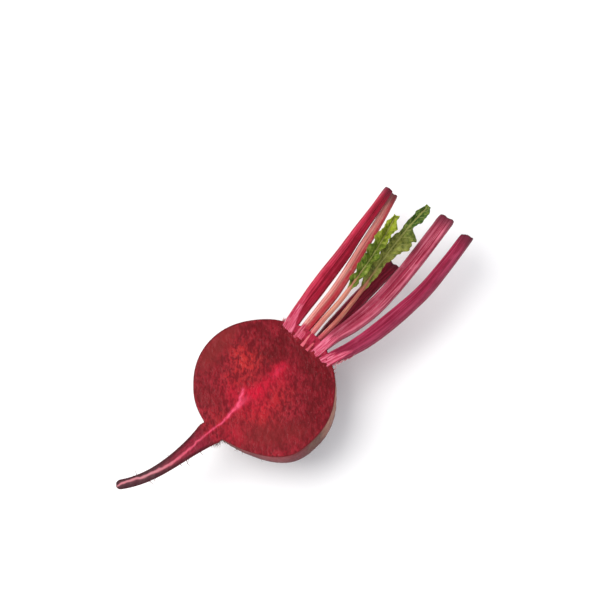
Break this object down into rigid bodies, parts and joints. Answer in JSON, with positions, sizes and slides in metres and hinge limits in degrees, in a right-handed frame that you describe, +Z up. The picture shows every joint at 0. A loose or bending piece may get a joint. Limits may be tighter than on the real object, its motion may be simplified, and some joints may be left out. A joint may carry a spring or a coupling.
{
  "type": "halved beetroot",
  "caption": "Raw beetroot cut in half lengthwise, with its tap root, cut leaf stalks and young heart leaves, lying on its rounded back.",
  "frame": {"origin": "on the flat spot that the half rests on, straight under the middle of the bulb", "axes": "+X along the beet from the tap root to the crown, +Z up, square to the cut face, +Y across the cut face"},
  "size_m": [0.22, 0.0759, 0.0426],
  "materials": {
    "beet": "moist granular crimson flesh on the cut face, thin dull maroon skin round it",
    "stalk": "smooth ribbed crimson leaf stalk with a soft gloss, paler and fibrous where it is cut",
    "young_leaf": "crinkled yellow-green young leaf on a pale pink stalk"
  },
  "bodies": {
    "root": {"root_half": "beet", "stalk_far": "stalk", "stalk_far_inner": "stalk", "stalk_near": "stalk", "stalk_near_outer": "stalk", "stalk_back": "stalk", "young_leaf_far": "young_leaf", "young_leaf_near": "young_leaf"}
  },
  "joints": []
}
